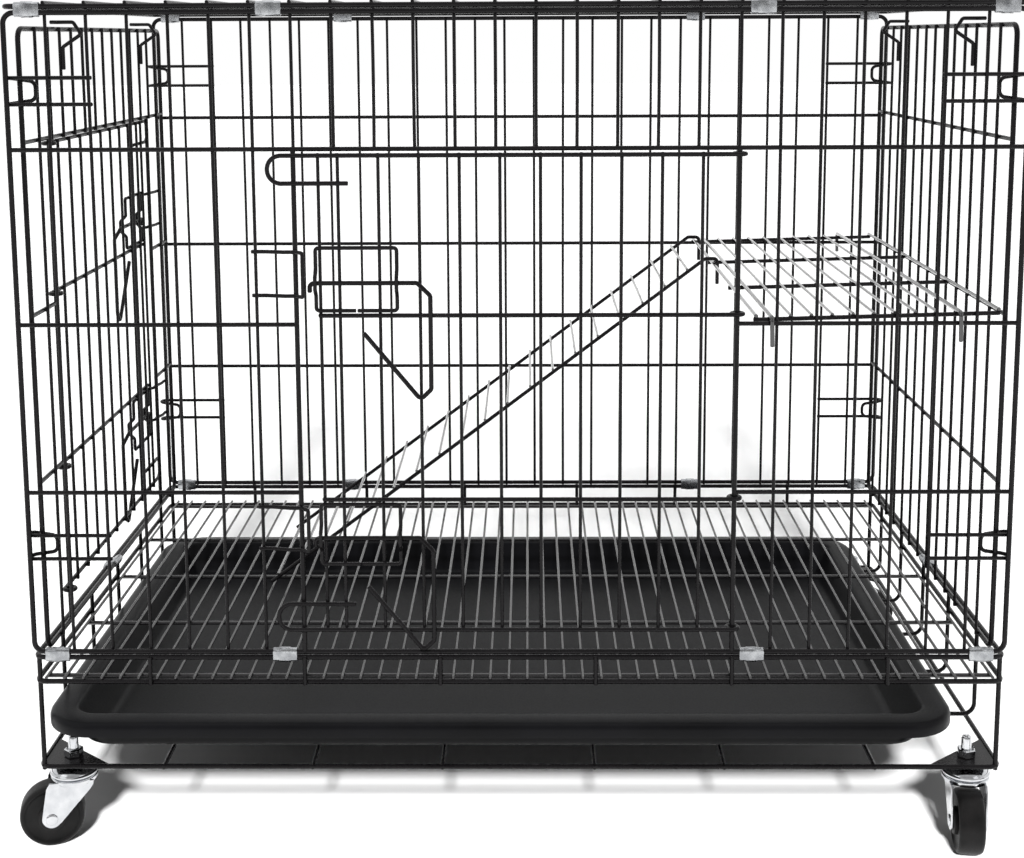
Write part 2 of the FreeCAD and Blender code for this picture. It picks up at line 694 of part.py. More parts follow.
def ladder_shape():
    """A wire ladder hung over the shelf edge, drawn from its pivot."""
    half = size("ladder_width") / 2
    clear = R_EDGE + GAP + R_RAIL
    turn_x = -clear - 3.0
    fall = PIVOT_Z + clear - LADDER_FOOT
    slope = V(-LADDER_RUN - turn_x, -size("ladder_skew"), -fall)
    lift = V(-fall, 0, LADDER_RUN + turn_x).normalize() * (R_RAIL + R_FLOOR - WELD)
    pieces = []
    for y in (-half, half):
        top = V(turn_x, y, clear)
        path = ((clear + 0.6, y, -20), (clear + 0.6, y, clear), tuple(top), tuple(top + slope))
        pieces.append(bent(path, R_RAIL, 3.6))
    rungs = 19
    for number in range(rungs):
        spot = V(turn_x, 0, clear) + slope * (0.04 + 0.94 * number / (rungs - 1)) + lift
        ends = [spot + V(0, side * (half + 3), 0) for side in (-1, 1)]
        pieces.append(rod(tuple(ends[0]), tuple(ends[1]), R_FLOOR))
    return joined(pieces)


keep("ladder", ladder_shape(), (SHELF_X, LADDER_Y, PIVOT_Z))


def clip_shape(spacing):
    """Folded sheet sleeve round two wires; axis X, second wire up local Z."""
    room = R_FRAME + 0.35
    skin = room + size("clip_sheet")
    long = size("clip_length")

    def sleeve(radius, reach):
        start = V(-reach / 2, 0, 0)
        body = Part.makeBox(reach, 2 * radius, spacing, V(-reach / 2, -radius, 0))
        for z in (0, spacing):
            body = body.fuse(Part.makeCylinder(radius, reach, start + V(0, 0, z), V(1, 0, 0)))
        return body.removeSplitter()

    shell = sleeve(skin, long).cut(sleeve(room, long + 2))
    slit = Part.makeBox(long + 2, 4, 1.4, V(-long / 2 - 1, room - 1, spacing / 2 - 0.7))
    return shell.cut(slit).Solids[0]


CLIP_X = (
    ("outer_left", -HALF_W + 0.6 * FRONT_PITCH),
    ("inner_left", -HALF_W + 6.49 * FRONT_PITCH),
    ("inner_right", HALF_W - 6.49 * FRONT_PITCH),
    ("outer_right", HALF_W - 0.6 * FRONT_PITCH),
)
pair = clip_shape(STACK)
for level, z in (("low", Z_BASE), ("high", Z_TOP)):
    for wall, y, turn in (("front", -HALF_D, 0), ("back", HALF_D, 180)):
        label = "clips_%s_%s" % (wall, level)
        row = [keep("%s_%s" % (label, side), pair, (x, y, z), turn) for side, x in CLIP_X]
        together(label, row)
lean = math.degrees(math.atan2(size("side_inset"), SIDE_LOW - Z_BASE))
side_pair = clip_shape(math.hypot(size("side_inset"), SIDE_LOW - Z_BASE))
for side, sign in (("left", -1), ("right", 1)):
    keep("clip_" + side, side_pair, (sign * HALF_W, -0.5 * SIDE_PITCH, Z_BASE), 90 * sign, tip=-lean)

WHEEL_R = size("wheel_diameter") / 2
CHEEK_IN = size("hub_width") / 2 + GAP
CHEEK = 1.6
AXLE_R = size("axle_diameter") / 2
TRAIL = size("castor_trail")
FIT = size("running_fit")
PLATE_LOW = Z_STAND - STAND_PLATE / 2
RACE = 12.2


def revolved(profile):
    """A solid of revolution about Z from (radius, height) points."""
    points = [V(r, 0, z) for r, z in profile]
    face = Part.Face(Part.makePolygon(points + points[:1]))
    return face.revolve(V(0, 0, 0), UP, 360)


def stem_shape():
    """Castor head: stem, domed race and the rivet the fork turns on."""
    top = PLATE_LOW - 0.05
    fork_top = top - RACE
    profile = (
        (0, fork_top - 4.5),
        (STEM_RADIUS + 2.5, fork_top - 4.5),
        (STEM_RADIUS + 2.5, fork_top - 3.0),
        (STEM_RADIUS, fork_top - 3.0),
        (STEM_RADIUS, fork_top + 1.2),
        (18.5, fork_top + 1.2),
        (18.5, fork_top + 3.4),
        (17.2, fork_top + 5.6),
        (13.5, fork_top + 7.8),
        (9.5, fork_top + 9.2),
        (8, fork_top + 9.6),
        (8, top),
        (STEM_RADIUS, top),
        (STEM_RADIUS, top + 18.0),
        (STEM_RADIUS - 0.8, top + 19.0),
        (0, top + 19.0),
    )
    return revolved(profile)


def fork_shape():
    """Pressed fork: a turning disc and two cheeks leaning to the axle."""
    high = PLATE_LOW - 0.05 - RACE
    low = high - 2.0
    disc = Part.makeCylinder(18, 2.0, V(0, 0, low))
    pieces = [disc.cut(Part.makeCylinder(STEM_RADIUS + FIT, 6, V(0, 0, low - 2)))]
    boss_r = AXLE_R + 4.4
    outline = (
        (-TRAIL - boss_r, WHEEL_R + 1),
        (-TRAIL - 3, high),
        (15, high),
        (-TRAIL + 0.81 * boss_r, WHEEL_R - 0.59 * boss_r),
    )
    for y in (-CHEEK_IN - CHEEK, CHEEK_IN):
        points = [V(x, y, z) for x, z in outline]
        cheek = Part.Face(Part.makePolygon(points + points[:1])).extrude(V(0, CHEEK, 0))
        boss = Part.makeCylinder(AXLE_R + 4.5, CHEEK, V(-TRAIL, y, WHEEL_R), V(0, 1, 0))
        hole = Part.makeCylinder(AXLE_R + 0.05, CHEEK + 2, V(-TRAIL, y - 1, WHEEL_R), V(0, 1, 0))
        pieces.append(cheek.fuse(boss).cut(hole))
    return joined(pieces)


def bound(kind, label, **expressions):
    """A Part primitive whose sizes follow the sheet."""
    item = doc.addObject(kind, label)
    for prop, expression in expressions.items():
        item.setExpression(prop, expression)
    return item


def castor(place, sx, sy, turn):
    """One castor: head, nut, fork, axle and wheel, swivelled by the turn."""
    base = V(sx * CASTOR_X, sy * CASTOR_Y, 0)
    swing = FreeCAD.Rotation(UP, turn)
    lay = FreeCAD.Rotation(V(1, 0, 0), -90)
    keep("castor_stem_" + place, stem_shape(), base)
    keep("castor_fork_" + place, fork_shape(), base, turn)

    hexagon = bound("Part::Prism", "nut_body_" + place)
    hexagon.Polygon = 6
    hexagon.Circumradius = 7.5
    hexagon.Height = 6.5
    thread = bound("Part::Cylinder", "nut_bore_" + place)
    thread.Radius = STEM_RADIUS + 0.05
    thread.Height = 10
    thread.Placement.Base = V(0, 0, -1)
    nut = doc.addObject("Part::Cut", "castor_nut_" + place)
    nut.Base = hexagon
    nut.Tool = thread
    nut.Placement = FreeCAD.Placement(base + V(0, 0, PLATE_LOW + STAND_PLATE + 0.05), FreeCAD.Rotation(UP, 20))
    nuts.append(nut)

    hub = base + swing.multVec(V(-TRAIL, 0, WHEEL_R))
    tyre = bound("Part::Cylinder", "tyre_" + place, Radius="Sizes.wheel_diameter / 2", Height="Sizes.wheel_width")
    doc.recompute()
    round_off = doc.addObject("Part::Fillet", "tread_" + place)
    round_off.Base = tyre
    round_off.Edges = [(1, 4.0, 4.0), (3, 4.0, 4.0)]
    proud = (size("hub_width") - size("wheel_width")) / 2
    boss = bound("Part::Cylinder", "boss_" + place, Radius="Sizes.hub_diameter / 2", Height="Sizes.hub_width")
    boss.Placement.Base = V(0, 0, -proud)
    solid = doc.addObject("Part::Fuse", "solid_wheel_" + place)
    solid.Base = round_off
    solid.Tool = boss
    bore = bound("Part::Cylinder", "bore_" + place, Radius="Sizes.axle_diameter / 2 + Sizes.running_fit")
    bore.Height = size("hub_width") + 4
    bore.Placement.Base = V(0, 0, -proud - 2)
    wheel = doc.addObject("Part::Cut", "castor_wheel_" + place)
    wheel.Base = solid
    wheel.Tool = bore
    middle = swing.multVec(V(0, -size("wheel_width") / 2, 0))
    wheel.Placement = FreeCAD.Placement(hub + middle, swing.multiply(lay))
    made.append(wheel)

    half = CHEEK_IN + CHEEK + 0.1
    pin = bound("Part::Cylinder", "pin_" + place, Radius="Sizes.axle_diameter / 2")
    pin.Height = 2 * half + 2
    heads = []
    for end, z in (("near", 0), ("far", 2 * half + 1)):
        head = bound("Part::Cylinder", "rivet_%s_%s" % (end, place))
        head.Radius = AXLE_R + 1.6
        head.Height = 1.0
        head.Placement.Base = V(0, 0, z)
        heads.append(head)
    axle = doc.addObject("Part::MultiFuse", "castor_axle_" + place)
    axle.Shapes = [pin] + heads
    middle = swing.multVec(V(0, -half - 1, 0))
    axle.Placement = FreeCAD.Placement(hub + middle, swing.multiply(lay))
    made.append(axle)


nuts = []
castor("front_left", -1, -1, 14)
castor("front_right", 1, -1, 84)
castor("back_right", 1, 1, 194)
castor("back_left", -1, 1, 264)
together("castor_nuts", nuts)

doc.recompute()
GROUPS = {"front_door_eyes": 4, "left_door_eyes": 4, "tray_runners": 5, "castor_nuts": 4,
          "stand_braces": 6, "shelf_hooks": 4, "tray_sides": 4, "tray_corners": 4}
GROUPS.update(("clips_%s_%s" % (wall, level), 4) for wall in ("front", "back") for level in ("low", "high"))
os.makedirs("parts", exist_ok=True)
for item in made:
    solids = item.Shape.Solids
    if "Invalid" in item.State or not item.Shape.isValid() or len(solids) != GROUPS.get(item.Name, 1):
        raise ValueError("sub-part %s has %d solids or is not sound" % (item.Name, len(solids)))
    shape = solids[0] if len(solids) == 1 else Part.makeCompound(solids)
    shape.exportStep(os.path.join("parts", item.Name + ".step"))
box = made[0].Shape.BoundBox
for item in made[1:]:
    box.add(item.Shape.BoundBox)
print("sub-parts", len(made), "box", box)
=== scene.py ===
"""Wire pet cage on castors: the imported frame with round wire, a moulded tray, zinc clips and castors."""
import math

import bpy
import numpy as np
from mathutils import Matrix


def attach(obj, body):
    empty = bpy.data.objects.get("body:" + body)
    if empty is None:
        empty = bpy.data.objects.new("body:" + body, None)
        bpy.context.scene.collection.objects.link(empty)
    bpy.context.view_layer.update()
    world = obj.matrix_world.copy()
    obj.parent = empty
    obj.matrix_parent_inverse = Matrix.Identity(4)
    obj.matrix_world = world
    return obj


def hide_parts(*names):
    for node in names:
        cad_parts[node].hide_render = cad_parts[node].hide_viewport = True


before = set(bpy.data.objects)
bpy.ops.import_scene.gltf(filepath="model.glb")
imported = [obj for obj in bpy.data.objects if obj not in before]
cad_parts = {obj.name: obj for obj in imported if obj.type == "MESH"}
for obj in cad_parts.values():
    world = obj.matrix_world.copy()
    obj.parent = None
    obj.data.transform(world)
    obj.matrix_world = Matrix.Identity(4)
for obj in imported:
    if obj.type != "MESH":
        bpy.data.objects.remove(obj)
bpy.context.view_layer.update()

# Main sizes of the cage in millimetres, the same as the solids have.
HALF_W = 375.0
HALF_D = 230.0
Z_STAND = 69.4
Z_RUN = 85.9
Z_RAIL = 139.6
Z_BASE = 159.4
Z_PANEL = 164.0
TALL = 489.5
Z_TOP = Z_PANEL + TALL
Z_LID = Z_TOP + 4.6
LEVELS = [Z_PANEL + TALL * part for part in (0.26, 0.526, 0.795)]
R_FRAME, R_POST, R_RAIL, R_LOOP, R_GRID, R_FLOOR = 2.0, 1.9, 1.7, 1.5, 1.3, 1.2
WELD = 0.3
GAP = 0.6
BEND = 8.0
BEHIND = R_RAIL + R_GRID - WELD
FRONT_PITCH = 30.0
SIDE_LENGTH = 439.0
SIDE_PITCH = SIDE_LENGTH / 14
SIDE_X = 368.0
SIDE_LOW = Z_BASE + 3.1
SIDE_HIGH = Z_TOP - 11.5
SIDE_DATUM = Z_PANEL + 4.6
SIDE_LEVELS = [z + 4.6 for z in LEVELS]
PLACES = {
    "front_left": (-354.0, -213.0, 14.0),
    "front_right": (354.0, -213.0, 84.0),
    "back_right": (354.0, 213.0, 194.0),
    "back_left": (-354.0, 213.0, 264.0),
}


# Shapes: every shape is a pair of arrays, points in millimetres and the faces that join them.

def rounded(points, bend, steps=7):
    """Points of a bent wire's centre line.

    At each corner the line leaves the run at the tangent point, follows a circle of the bend radius in
    equal angle steps and joins the next run.
    """
    points = np.asarray(points, float)
    line = [points[:1]]
    for before, here, after in zip(points, points[1:], points[2:]):
        a = (before - here) / np.linalg.norm(before - here)
        b = (after - here) / np.linalg.norm(after - here)
        half = 0.5 * math.acos(np.clip(a @ b, -1, 1))
        middle = (a + b) / np.linalg.norm(a + b)
        centre = here + middle * bend / math.sin(half)
        side = (b - a) / np.linalg.norm(b - a)
        down = -middle
        sweep = np.linspace(-1, 1, steps)[:, None] * (math.pi / 2 - half)
        line.append(centre + bend * (np.cos(sweep) * down + np.sin(sweep) * side))
    line.append(points[-1:])
    return np.concatenate(line)


def loft(rings, closed=False):
    """A skin over a row of equal point loops, closed into a ring or shut at both ends, faces outward.

    Six times the volume under the faces, the sum of a . (b x c) over their triangles, is negative when
    the faces point inward, and then every face is turned round.
    """
    rings = np.asarray(rings, float)
    rows, sides = rings.shape[:2]
    points = rings.reshape(-1, 3)
    i = np.arange(rows if closed else rows - 1)[:, None] * sides
    up = (i + sides) % (rows * sides)
    j = np.arange(sides)[None]
    k = (j + 1) % sides
    quads = np.stack([i + j, i + k, up + k, up + j], -1).reshape(-1, 4)
    a, b, c, d = points[quads].transpose(1, 0, 2)
    middle = points.mean(0)
    areas = np.cross(b - middle, c - middle) + np.cross(c - middle, d - middle)
    turned_out = np.einsum("ij,ij", a - middle, areas) > 0
    faces = quads.tolist()
    if not closed:
        faces += [list(range(sides - 1, -1, -1)), list(range((rows - 1) * sides, rows * sides))]
    if not turned_out:
        faces = [face[::-1] for face in faces]
    return points, faces


def tube(line, radius, sides=12, closed=False):
    """A round wire: a circle carried along the line.

    Ring i is line[i] + radius * (cos t * n + sin t * b), where b and n are square to the tangent and taken
    from one fixed direction that no tangent comes near.  Open ends get a small rounded edge and a flat cap.
    """
    line = np.asarray(line, float)
    if closed:
        tangent = np.roll(line, -1, 0) - np.roll(line, 1, 0)
        scale = np.ones(len(line))
    else:
        ends = line[[1, -2]] - line[[0, -1]]
        ends /= np.linalg.norm(ends, axis=1)[:, None]
        first, last = line[:1] + ends[:1] * 0.3 * radius, line[-1:] + ends[1:] * 0.3 * radius
        line = np.concatenate([line[:1], first, line[1:-1], last, line[-1:]])
        tangent = np.gradient(line, axis=0)
        scale = np.ones(len(line))
        scale[[0, -1]] = 0.7
    tangent /= np.linalg.norm(tangent, axis=1)[:, None]
    tries = np.array([(1, 0, 0), (0, 1, 0), (0, 0, 1), (0.6, 0.8, 0),
                      (0.6, 0, 0.8), (0, 0.6, 0.8), (0.48, 0.6, 0.64)])
    clear = np.linalg.norm(np.cross(tangent[None], tries[:, None]), axis=2).min(1)
    b = np.cross(tangent, tries[clear.argmax()])
    b /= np.linalg.norm(b, axis=1)[:, None]
    n = np.cross(b, tangent)
    t = np.linspace(0, 2 * math.pi, sides, endpoint=False)
    ring = np.cos(t)[None, :, None] * n[:, None] + np.sin(t)[None, :, None] * b[:, None]
    return loft(line[:, None] + radius * scale[:, None, None] * ring, closed)


def rod(start, end, radius, bow=0.0):
    """A straight wire, or one that bows aside by a parabola when a bow is given."""
    start, end = np.asarray(start, float), np.asarray(end, float)
    if not bow:
        return tube([start, end], radius)
    s = np.linspace(0, 1, 9)[:, None]
    aside = np.cross(end - start, (0.3, 0.9, 0.3))
    aside /= np.linalg.norm(aside)
    return tube(start + (end - start) * s + aside * bow * 4 * s * (1 - s), radius)


def bent(points, radius, bend, steps=7):
    """A wire through the points with its corners bent round."""
    return tube(rounded(points, bend, steps), radius)


def hoop(half_x, half_y, z, radius, bend):
    """A level closed rectangle of wire: four quarter circles joined by straight runs."""
    corner = np.array([(1, 1), (-1, 1), (-1, -1), (1, -1)], float)
    start = np.radians([0, 90, 180, 270])
    turn = start[:, None] + np.linspace(0, math.pi / 2, 7)[None]
    arcs = bend * np.stack([np.cos(turn), np.sin(turn)], -1)
    flat = ((corner * (half_x - bend, half_y - bend))[:, None] + arcs).reshape(-1, 2)
    return tube(np.column_stack([flat, np.full(len(flat), z)]), radius, closed=True)


def standing(shape, middle):
    """A level shape stood up so that its Y runs along Z, about the given height."""
    points, faces = shape
    return np.column_stack([points[:, 0], -points[:, 2], points[:, 1] + middle]), faces


def placed(shape, base, turn):
    """A shape turned about Z by degrees and set down at the base point."""
    points, faces = shape
    c, s = math.cos(math.radians(turn)), math.sin(math.radians(turn))
    spin = np.array([(c, s, 0), (-s, c, 0), (0, 0, 1)])
    return points @ spin + np.asarray(base, float), faces


def nuggets(centres, reach):
    """Weld nuggets: one small ball, squashed to the reach on each axis, at every centre."""
    centres = np.asarray(centres, float)
    around = np.linspace(0, 2 * math.pi, 8, endpoint=False)
    up = np.radians([-45, 0, 45])[:, None]
    rings = np.stack([np.cos(up) * np.cos(around), np.cos(up) * np.sin(around), np.sin(up) + 0 * around], -1)
    ball = np.concatenate([rings.reshape(-1, 3), [(0, 0, -1), (0, 0, 1)]]) * reach
    j = np.arange(8)
    k = (j + 1) % 8
    bands = [np.stack([8 * r + j, 8 * r + k, 8 * r + 8 + k, 8 * r + 8 + j], 1) for r in (0, 1)]
    quads = np.concatenate(bands)
    fans = np.concatenate([np.stack([k, j, 0 * j + 24], 1), np.stack([16 + j, 16 + k, 0 * j + 25], 1)])
    shift = np.arange(len(centres))[:, None, None] * len(ball)
    faces = (quads[None] + shift).reshape(-1, 4).tolist() + (fans[None] + shift).reshape(-1, 3).tolist()
    return (centres[:, None] + ball[None]).reshape(-1, 3), faces


def turned(profile, sides=48):
    """A turned piece: the (radius, height) profile spun about Z and shut flat at both ends."""
    profile = np.asarray(profile, float)
    t = np.linspace(0, 2 * math.pi, sides, endpoint=False)
    across = profile[:, :1, None] * np.stack([np.cos(t), np.sin(t)], -1)[None]
    heights = np.broadcast_to(profile[:, None, 1:], (len(profile), sides, 1))
    return loft(np.concatenate([across, heights], -1))


def slab(outline, low, high, bevel):
    """A flat piece: a convex outline carried up from low to high, drawn in by the bevel at both rims.

    Each corner moves in along the line halfway between its two sides, by bevel / sin(half the corner).
    """
    outline = np.asarray(outline, float)
    before = np.roll(outline, 1, 0) - outline
    after = np.roll(outline, -1, 0) - outline
    before /= np.linalg.norm(before, axis=1)[:, None]
    after /= np.linalg.norm(after, axis=1)[:, None]
    middle = before + after
    middle /= np.linalg.norm(middle, axis=1)[:, None]
    half = np.abs(before[:, 0] * middle[:, 1] - before[:, 1] * middle[:, 0])
    inner = outline + middle * (bevel / half)[:, None]
    rows = ((inner, low), (outline, low + bevel), (outline, high - bevel), (inner, high))
    return loft([np.column_stack([loop, np.full(len(loop), z)]) for loop, z in rows])


def piece(name, shapes, material, body, nodes):
    """One mesh object from the shapes, riding on a body and standing for CAD nodes."""
    points, faces, base = [], [], 0
    for p, f in shapes:
        points.append(p)
        faces += [[v + base for v in face] for face in f]
        base += len(p)
    mesh = bpy.data.meshes.new(name)
    mesh.from_pydata((np.concatenate(points) * 0.001).tolist(), [], faces)
    mesh.polygons.foreach_set("use_smooth", np.ones(len(mesh.polygons), bool))
    mesh.set_sharp_from_angle(angle=math.radians(42))
    mesh.update()
    obj = bpy.data.objects.new(name, mesh)
    bpy.context.scene.collection.objects.link(obj)
    mesh.materials.append(material)
    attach(obj, body)
    if nodes:
        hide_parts(*nodes)


# Materials

def linear(code):
    """An sRGB hex colour as linear values."""
    value = np.array([int(code[i:i + 2], 16) for i in (1, 3, 5)]) / 255
    value = np.where(value <= 0.04045, value / 12.92, ((value + 0.055) / 1.055) ** 2.4)
    return (*value.tolist(), 1.0)


def add(tree, kind, settings=(), links=()):
    """A node with its settings, an attribute or an input by name, and its links from other sockets."""
    node = tree.nodes.new(kind)
    for name, value in dict(settings).items():
        if name in node.inputs:
            node.inputs[name].default_value = value
        else:
            setattr(node, name, value)
    for name, socket in dict(links).items():
        tree.links.new(socket, node.inputs[name])
    return node


def blank(name):
    """A new material with an empty node tree and its output."""
    material = bpy.data.materials.new(name)
    material.use_nodes = True
    tree = material.node_tree
    tree.nodes.clear()
    return material, tree, add(tree, "ShaderNodeOutputMaterial")


def finished(name, dark, pale, settings, grain, spread, rough, dent):
    """A surface whose colour runs between two tones, with a fine grain in its roughness and its bump.

    grain is the size of the grain in millimetres, spread the size of the tone patches, rough the roughness
    range and dent the bump height in millimetres.
    """
    material, tree, output = blank(name)
    place = add(tree, "ShaderNodeTexCoord").outputs["Object"]
    patch = add(tree, "ShaderNodeTexNoise", {"Scale": 1000 / spread, "Detail": 3.0}, {"Vector": place})
    fine = add(tree, "ShaderNodeTexNoise", {"Scale": 1000 / grain, "Detail": 2.0}, {"Vector": place})
    tone = add(tree, "ShaderNodeValToRGB", links={"Fac": patch.outputs["Fac"]})
    tone.color_ramp.elements[0].position = 0.35
    tone.color_ramp.elements[1].position = 0.7
    tone.color_ramp.elements[0].color = linear(dark)
    tone.color_ramp.elements[1].color = linear(pale)
    grains = fine.outputs["Fac"]
    limits = {"From Min": 0.3, "From Max": 0.7, "To Min": rough[0], "To Max": rough[1]}
    gloss = add(tree, "ShaderNodeMapRange", limits, {"Value": grains})
    bump = add(tree, "ShaderNodeBump", {"Strength": 0.6, "Distance": dent * 0.001}, {"Height": grains})
    shader = add(tree, "ShaderNodeBsdfPrincipled", settings, {
        "Base Color": tone.outputs["Color"],
        "Roughness": gloss.outputs["Result"],
        "Normal": bump.outputs["Normal"],
    })
    tree.links.new(shader.outputs["BSDF"], output.inputs["Surface"])
    return material


# Black polyester powder coat baked on steel wire: a deep black skin with a slight orange peel and thin,
# soft highlights.
COATED_WIRE = finished(
    "powder_coat_black", "#080708", "#0f0e0f", {"Specular IOR Level": 0.17},
    grain=2.2, spread=40, rough=(0.2, 0.32), dent=0.02)
# The same coat on the drawn rods of the floor, smoother: rods that run away from the eye turn the white
# studio behind them into pale streaks.
COATED_ROD = finished(
    "powder_coat_smooth", "#0c0b0c", "#141314", {"Specular IOR Level": 0.95},
    grain=3.0, spread=40, rough=(0.12, 0.19), dent=0.01)
# Shelf rods and ladder rungs carry a clear glossy skin over the black and mirror the backdrop almost white.
COATED_RUNG = finished(
    "powder_coat_glazed", "#0f0e0f", "#181718",
    {"Specular IOR Level": 0.8, "Coat Weight": 1.0, "Coat Roughness": 0.05},
    grain=3.0, spread=40, rough=(0.1, 0.16), dent=0.01)
# Zinc plated sheet steel, greyish and slightly cloudy, with fine rolling marks.
ZINC_SHEET = finished(
    "zinc_sheet", "#96989b", "#bcbec0", {"Metallic": 1.0},
    grain=1.2, spread=6, rough=(0.2, 0.36), dent=0.03)
# Pressed steel with bright zinc plate: castor forks and races that mirror the studio in crisp dark and
# white bands.
ZINC_PRESSING = finished(
    "zinc_pressing", "#c6c8cb", "#dddee0", {"Metallic": 1.0},
    grain=1.6, spread=10, rough=(0.1, 0.2), dent=0.01)
# Injection moulded black polypropylene with a fine matt grain, drawn at 1.4 mm so that it shows.
MOULDED_TRAY = finished(
    "polypropylene_tray", "#060607", "#0c0c0e", {"Specular IOR Level": 0.11},
    grain=1.4, spread=90, rough=(0.3, 0.42), dent=0.04)
# Moulded black castor tread, a dull hard rubber with faint dust.
CASTOR_TREAD = finished(
    "castor_tread", "#080808", "#121111", {"Specular IOR Level": 0.2},
    grain=1.0, spread=12, rough=(0.4, 0.6), dent=0.04)


# Wall panels in local coordinates: X to the right seen from outside, Y into the cage.

def panel(half, count, low, tops, high, doorway=None, seed=0):
    """Wires of an upright panel: frame, level wires, uprights behind them and welds where they cross."""
    pitch = 2 * half / count
    shapes = [standing(hoop(half, (high - low) / 2, 0, R_FRAME, BEND), (low + high) / 2)]
    sunk = R_FRAME - 0.4
    bows = np.random.default_rng(seed).uniform(-0.35, 0.35, count + 1)
    first, last = doorway or (None, None)
    welds = []
    for number, z in enumerate(tops):
        spans = [(-half, half)]
        if doorway and number < 2:
            spans = [(-half, -half + first * pitch), (-half + last * pitch, half)]
        shapes += [rod((a, 0, z), (b, 0, z), R_RAIL) for a, b in spans]
    for number in range(1, count):
        x = -half + number * pitch
        foot = low - sunk
        levels = [low, *tops, high]
        if doorway and first <= number <= last:
            foot = tops[2] - sunk
            levels = [tops[2], high]
            if number in doorway:
                shapes.append(rod((x, 0, low), (x, 0, tops[2]), R_POST))
                welds += [(x, -0.2, low), (x, -0.2, tops[2])]
        shapes.append(rod((x, BEHIND, foot), (x, BEHIND, high + sunk), R_GRID, bows[number]))
        welds += [(x, 0.55 * BEHIND, z) for z in levels]
    shapes.append(nuggets(welds, (1.9, 1.15, 1.9)))
    return shapes


def catches():
    """Corner catches that hook round the end posts of the side panels."""
    lie = BEHIND + R_GRID + R_LOOP - WELD
    back = 10.5 + R_FRAME + 1.0 + R_LOOP
    bow = (back - lie) / 2 - 0.1
    shapes = []
    for side in (-1, 1):
        start, apex, tip = side * (HALF_W - 62.0), side * (HALF_W + 3.5), side * (SIDE_X - R_FRAME - 8.0)
        for parts in ((0.863, 0.903), (0.149, 0.187)):
            low, high = (Z_PANEL + TALL * part for part in parts)
            path = [(start, lie, high), (apex, lie, high), (apex, back, high), (tip, back, high - 3)]
            path += [(tip, back, low + 3), (apex, back, low), (apex, lie, low), (start, lie, low)]
            shapes.append(bent(path, R_LOOP, bow))
    return shapes


def side_hooks():
    """Wire hooks at the top of a side panel."""
    face = BEHIND + R_GRID + R_LOOP - WELD
    shapes = []
    for x in (-4 * SIDE_PITCH, 4 * SIDE_PITCH):
        path = [(x, face, SIDE_HIGH - 32), (x, face, SIDE_HIGH - 14), (x, face + 15, SIDE_HIGH - 4)]
        path += [(x, face + 9, SIDE_HIGH + 5.6), (x, -4.5, SIDE_HIGH + 5.6)]
        shapes.append(bent(path, R_LOOP, 2.5))
    return shapes


# Doors: U runs from the hinge post to the latch post and W out of the cage.
RING = R_POST + GAP + 0.1 + R_RAIL
LEAF = RING - BEHIND
GUIDE = LEAF + R_GRID + R_LOOP - WELD
BOLT = 1.75
BOLT_W = LEAF + R_GRID + GAP + BOLT
BUMP = BOLT_W + BOLT + 0.9 + R_LOOP
LATCH_PARTS = (0.1896, 0.5918)


def keepers(span, hinge, datum):
    """Staples on the panel that the latch noses slip behind, in panel coordinates."""
    inner = R_LOOP + R_GRID - WELD - BEHIND
    touch = R_POST + R_LOOP - WELD
    out = BOLT_W + BOLT + 0.8 + R_LOOP
    half = [(span + 33.0, inner), (span + 22.0, inner), (span + 8.0, touch)]
    half += [(span - 0.5, touch), (span - 6.5, out)]
    shapes = []
    for part in LATCH_PARTS:
        z = datum + TALL * part
        path = [(u, w, z + 23.1) for u, w in half] + [(u, w, z - 10.0) for u, w in reversed(half)]
        shapes.append(placed(bent(path, R_LOOP, 1.8, 5), (hinge, 0, 0), 180))
    return shapes


def guide(span, z):
    """The wire eye that guides one latch bolt, with a bump over the bolt on each side."""
    near, far = span - 76.0, span - 15.5
    seam = (near + far) / 2
    low, high = z - 21.0, z + 26.3
    bump = ((-10, GUIDE), (-4.5, BUMP), (4.5, BUMP), (10, GUIDE))
    path = [(seam + 0.5, GUIDE, low)]
    for u, ends, way in ((far, (low, high), 1), (near, (high, low), -1)):
        path.append((u, GUIDE, ends[0]))
        path += [(u, w, z + way * step) for step, w in bump]
        path.append((u, GUIDE, ends[1]))
    path.append((seam - 0.5, GUIDE, low))
    return bent(path, R_LOOP, 2.4, 6)


def door(span, pitch, datum, tops):
    """A door leaf: level wires with hinge rings, U stops at top and bottom, uprights and latch guides."""
    wire = 2 * R_RAIL
    heights = [datum + 19.4, tops[0] - wire - GAP - 0.4, tops[1] + wire + 4.1, tops[2] - wire - GAP - 0.5]
    turn = np.linspace(math.pi / 2, 2.42 * math.pi, 40)
    shapes = []
    for z in heights:
        eye = RING * np.stack([np.cos(turn), np.sin(turn)], -1)
        shapes.append(tube(np.column_stack([eye, np.full(40, z)]), R_RAIL))
    for z, rise in ((heights[0], 20.6), (heights[3], -20.6)):
        path = [(-1.2, RING, z), (span + 18.7, RING, z)]
        path += [(span + 18.7, RING, z + rise), (span - 41.0, RING, z + rise)]
        shapes.append(bent(path, R_RAIL, 10.1, 12))
    edge = span - 18.5
    shapes += [rod((-1.2, RING, z), (edge + R_GRID, RING, z), R_RAIL) for z in heights[1:3]]
    uprights = [edge, *np.arange(0.9 * pitch, edge - 0.4 * pitch, pitch)]
    foot, head = heights[0] - R_RAIL, heights[3] + R_RAIL
    shapes += [rod((u, LEAF, foot), (u, LEAF, head), R_GRID) for u in uprights]
    welds = [(u, 0.5 * (LEAF + RING), z) for u in uprights for z in heights]
    shapes.append(nuggets(welds, (1.9, 1.15, 1.9)))
    return shapes + [guide(span, datum + TALL * part) for part in LATCH_PARTS]


